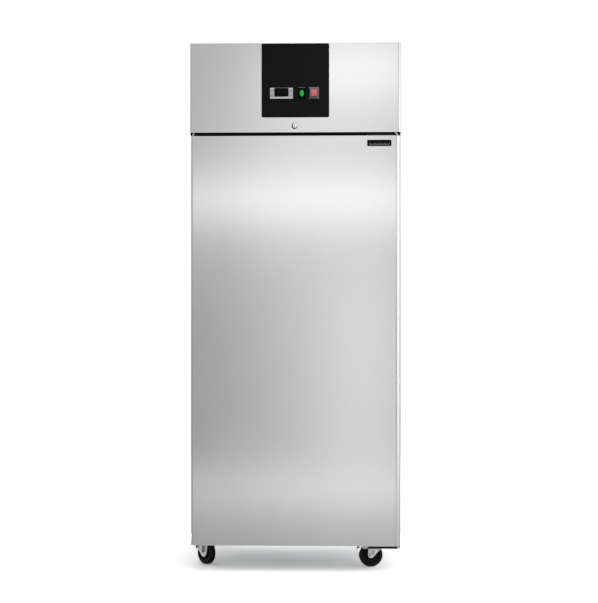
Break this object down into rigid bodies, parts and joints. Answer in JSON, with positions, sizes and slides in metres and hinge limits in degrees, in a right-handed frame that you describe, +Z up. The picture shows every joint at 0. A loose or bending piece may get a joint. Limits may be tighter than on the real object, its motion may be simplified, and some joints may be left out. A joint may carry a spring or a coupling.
{
  "type": "upright refrigerator",
  "caption": "Upright one-door stainless refrigerator with a top machine compartment, black control plate, shelves and swivel castors.",
  "frame": {"origin": "on the floor, under the middle of the outer box", "axes": "+X to the right seen from the front, +Y to the back, +Z up"},
  "size_m": [0.78, 0.8, 1.955],
  "materials": {
    "stainless": "brushed stainless sheet, satin",
    "galvanised": "galvanised sheet, matt",
    "zinc": "zinc-plated steel, satin",
    "chrome_trim": "polished chrome",
    "insulation": "rigid foam, matt",
    "breaker": "light grey plastic, satin",
    "grip": "black plastic, satin",
    "gasket": "soft black seal, matt",
    "black_panel": "black plate, satin gloss",
    "controller": "silver housing, satin",
    "display": "dark display window, glossy",
    "keys": "grey keys, satin",
    "bezel": "black frame, satin gloss",
    "green_lens": "green lens, glossy",
    "red_rocker": "red rocker, glossy",
    "grey_bezel": "grey frame, satin",
    "lamp_cover": "opal cover, satin",
    "fan_black": "black fan plastic, matt",
    "aluminium_coil": "aluminium tubes and fins",
    "motor": "black enamel, satin",
    "compressor_black": "black enamel, satin gloss",
    "copper": "bright copper tube",
    "drain": "grey plastic tube",
    "box_grey": "grey plastic box, matt",
    "wheel": "black rubber, matt",
    "pedal_black": "black pedal, satin",
    "nylon": "white nylon, satin"
  },
  "bodies": {
    "cabinet": {"outer_panels": "stainless", "machine_deck": "galvanised", "base_pan": "galvanised", "front_frame": "stainless", "breaker_strip": "breaker", "inner_liner": "stainless", "cabinet_foam": "insulation", "rear_grille": "stainless", "hinge_brackets": "zinc", "fascia_shell": "stainless", "control_plate": "black_panel", "controller_case": "controller", "controller_display": "display", "lamp_bezel": "bezel", "lamp_lens": "green_lens", "switch_bezel": "grey_bezel", "lock_body": "chrome_trim", "shelf_pilasters": "stainless", "shelf_clips": "zinc", "shelf_lower": "zinc", "shelf_middle": "zinc", "shelf_upper": "zinc", "interior_lamp": "lamp_cover", "door_switch": "nylon", "evaporator_cover": "stainless", "evaporator_coil": "aluminium_coil", "fan_motors": "motor", "drain_tube": "drain", "unit_base": "galvanised", "condenser_coil": "aluminium_coil", "condenser_shroud": "galvanised", "compressor": "compressor_black", "pipework": "copper", "control_box": "box_grey", "castor_plates": "zinc"},
    "door": {"door_skin": "stainless", "door_foam": "insulation", "door_inner_panel": "stainless", "door_gasket": "gasket", "door_grip": "grip", "hinge_bushes": "nylon"},
    "lock": {"lock_barrel": "chrome_trim"},
    "rocker": {"switch_rocker": "red_rocker"},
    "key_upper_left": {"key_upper_left": "keys"},
    "key_lower_left": {"key_lower_left": "keys"},
    "key_upper_right": {"key_upper_right": "keys"},
    "key_lower_right": {"key_lower_right": "keys"},
    "switch_plunger": {"door_switch_plunger": "nylon"},
    "evaporator_fan": {"evaporator_fan": "fan_black"},
    "condenser_fan": {"condenser_fan": "fan_black"},
    "fork_front_left": {"fork_front_left": "zinc"},
    "wheel_front_left": {"wheel_front_left": "wheel"},
    "pedal_front_left": {"pedal_front_left": "pedal_black"},
    "fork_front_right": {"fork_front_right": "zinc"},
    "wheel_front_right": {"wheel_front_right": "wheel"},
    "pedal_front_right": {"pedal_front_right": "pedal_black"},
    "fork_rear_left": {"fork_rear_left": "zinc"},
    "wheel_rear_left": {"wheel_rear_left": "wheel"},
    "fork_rear_right": {"fork_rear_right": "zinc"},
    "wheel_rear_right": {"wheel_rear_right": "wheel"}
  },
  "joints": [
    {"name": "door_hinge", "type": "hinge", "parent": "cabinet", "child": "door", "pos_m": [0.37, -0.36, 0.8545], "axis": [0, 0, 1], "range_deg": [0, 110]},
    {"name": "lock_turn", "type": "hinge", "parent": "cabinet", "child": "lock", "pos_m": [-0.003, -0.385, 1.648], "axis": [0, -1, 0], "range_deg": [0, 90]},
    {"name": "rocker_tilt", "type": "hinge", "parent": "cabinet", "child": "rocker", "pos_m": [0.069, -0.3885, 1.769], "axis": [1, 0, 0], "range_deg": [0, 20]},
    {"name": "key_upper_left_press", "type": "slide", "parent": "cabinet", "child": "key_upper_left", "axis": [0, 1, 0], "range_m": [0, 0.0008], "stiffness_N_per_m": 400},
    {"name": "key_lower_left_press", "type": "slide", "parent": "cabinet", "child": "key_lower_left", "axis": [0, 1, 0], "range_m": [0, 0.0008], "stiffness_N_per_m": 400},
    {"name": "key_upper_right_press", "type": "slide", "parent": "cabinet", "child": "key_upper_right", "axis": [0, 1, 0], "range_m": [0, 0.0008], "stiffness_N_per_m": 400},
    {"name": "key_lower_right_press", "type": "slide", "parent": "cabinet", "child": "key_lower_right", "axis": [0, 1, 0], "range_m": [0, 0.0008], "stiffness_N_per_m": 400},
    {"name": "switch_plunger_slide", "type": "slide", "parent": "cabinet", "child": "switch_plunger", "axis": [0, -1, 0], "range_m": [0, 0.006]},
    {"name": "evaporator_fan_spin", "type": "hinge", "parent": "cabinet", "child": "evaporator_fan", "pos_m": [0, 0.032, 1.4855], "axis": [0, 1, 0], "continuous": true},
    {"name": "condenser_fan_spin", "type": "hinge", "parent": "cabinet", "child": "condenser_fan", "pos_m": [-0.115, -0.121, 1.7605], "axis": [0, 1, 0], "continuous": true},
    {"name": "castor_front_left_swivel", "type": "hinge", "parent": "cabinet", "child": "fork_front_left", "pos_m": [-0.319, -0.24, 0.1], "axis": [0, 0, 1], "continuous": true},
    {"name": "wheel_front_left_roll", "type": "hinge", "parent": "fork_front_left", "child": "wheel_front_left", "pos_m": [-0.34576, -0.21027, 0.0445], "axis": [-0.7431, -0.6691, 0], "continuous": true},
    {"name": "brake_front_left_pedal", "type": "hinge", "parent": "fork_front_left", "child": "pedal_front_left", "pos_m": [-0.33907, -0.21771, 0.0965], "axis": [-0.7431, -0.6691, 0], "range_deg": [-9, 0]},
    {"name": "castor_front_right_swivel", "type": "hinge", "parent": "cabinet", "child": "fork_front_right", "pos_m": [0.319, -0.24, 0.1], "axis": [0, 0, 1], "continuous": true},
    {"name": "wheel_front_right_roll", "type": "hinge", "parent": "fork_front_right", "child": "wheel_front_right", "pos_m": [0.2791, -0.24279, 0.0445], "axis": [0.0698, -0.9976, 0], "continuous": true},
    {"name": "brake_front_right_pedal", "type": "hinge", "parent": "fork_front_right", "child": "pedal_front_right", "pos_m": [0.28907, -0.24209, 0.0965], "axis": [0.0698, -0.9976, 0], "range_deg": [-9, 0]},
    {"name": "castor_rear_left_swivel", "type": "hinge", "parent": "cabinet", "child": "fork_rear_left", "pos_m": [-0.319, 0.32, 0.1], "axis": [0, 0, 1], "continuous": true},
    {"name": "wheel_rear_left_roll", "type": "hinge", "parent": "fork_rear_left", "child": "wheel_rear_left", "pos_m": [-0.34363, 0.35152, 0.0445], "axis": [-0.788, -0.6157, 0], "continuous": true},
    {"name": "castor_rear_right_swivel", "type": "hinge", "parent": "cabinet", "child": "fork_rear_right", "pos_m": [0.319, 0.32, 0.1], "axis": [0, 0, 1], "continuous": true},
    {"name": "wheel_rear_right_roll", "type": "hinge", "parent": "fork_rear_right", "child": "wheel_rear_right", "pos_m": [0.28706, 0.34407, 0.0445], "axis": [-0.6018, -0.7986, 0], "continuous": true}
  ],
  "couplings": [
    {"joint": "switch_plunger_slide", "follows": "door_hinge", "m_per_rad": 0.003125}
  ]
}
